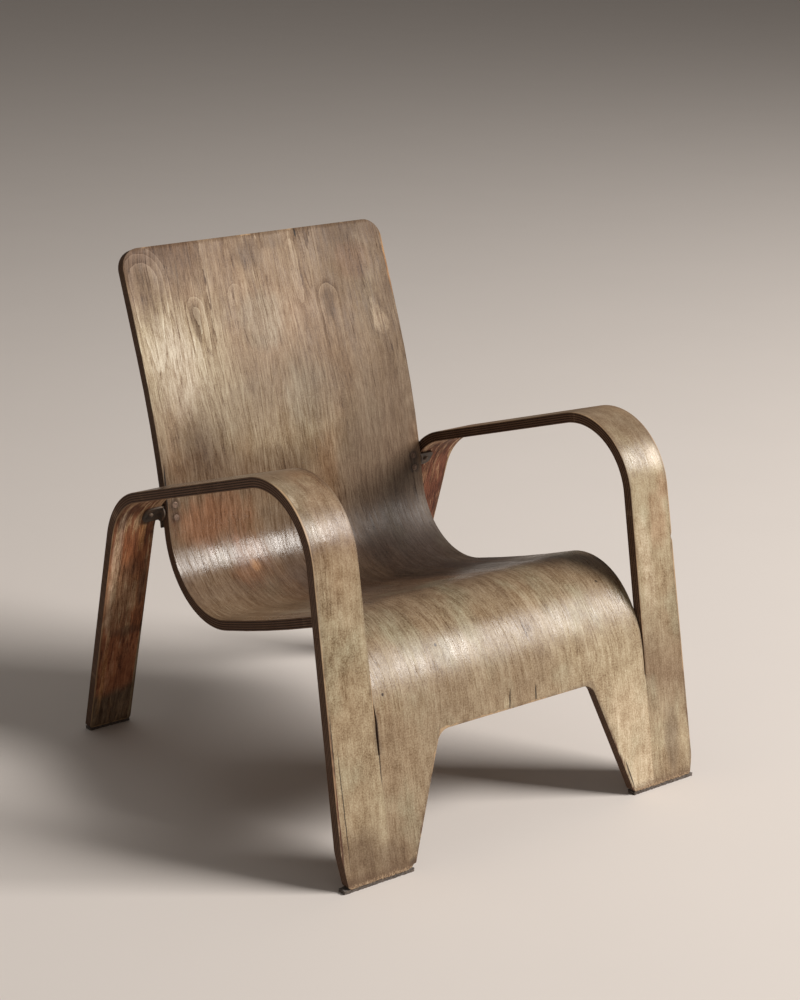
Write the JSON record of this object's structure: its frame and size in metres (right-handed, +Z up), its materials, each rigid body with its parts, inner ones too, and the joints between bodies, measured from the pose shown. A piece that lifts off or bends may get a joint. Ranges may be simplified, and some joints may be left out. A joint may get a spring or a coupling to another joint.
{
  "type": "armchair",
  "caption": "Low armchair bent from one laminated wooden sheet: arched front panel, seat and backrest in the middle, strips as armrests and rear legs, steel brackets.",
  "frame": {"origin": "centre of the bounding box at floor level", "axes": "+Z up, the front of the chair faces -Y, +X to the right of somebody who looks at the front"},
  "size_m": [0.6398, 0.704, 0.7508],
  "materials": {
    "face_veneer": "worn satin lacquer on long-grain veneer",
    "long_veneer": "bare long-grain veneer, seen on the edges",
    "cross_veneer": "dark end grain of the cross plies, seen on the edges",
    "bracket_steel": "dark blued steel strip",
    "fastener_steel": "worn steel",
    "pad_felt": "dark felt"
  },
  "bodies": {
    "root": {"ply_1_face": "face_veneer", "ply_2_cross": "cross_veneer", "ply_3_long": "long_veneer", "ply_4_cross": "cross_veneer", "ply_5_core": "long_veneer", "ply_6_cross": "cross_veneer", "ply_7_long": "long_veneer", "ply_8_cross": "cross_veneer", "ply_9_face": "face_veneer", "bracket_left": "bracket_steel", "bracket_right": "bracket_steel", "back_bolts_left": "fastener_steel", "back_bolts_right": "fastener_steel", "back_nuts_left": "fastener_steel", "back_nuts_right": "fastener_steel", "arm_screw_left": "fastener_steel", "arm_screw_right": "fastener_steel", "pad_front_left": "pad_felt", "pad_front_right": "pad_felt", "pad_rear_left": "pad_felt", "pad_rear_right": "pad_felt"}
  },
  "joints": []
}
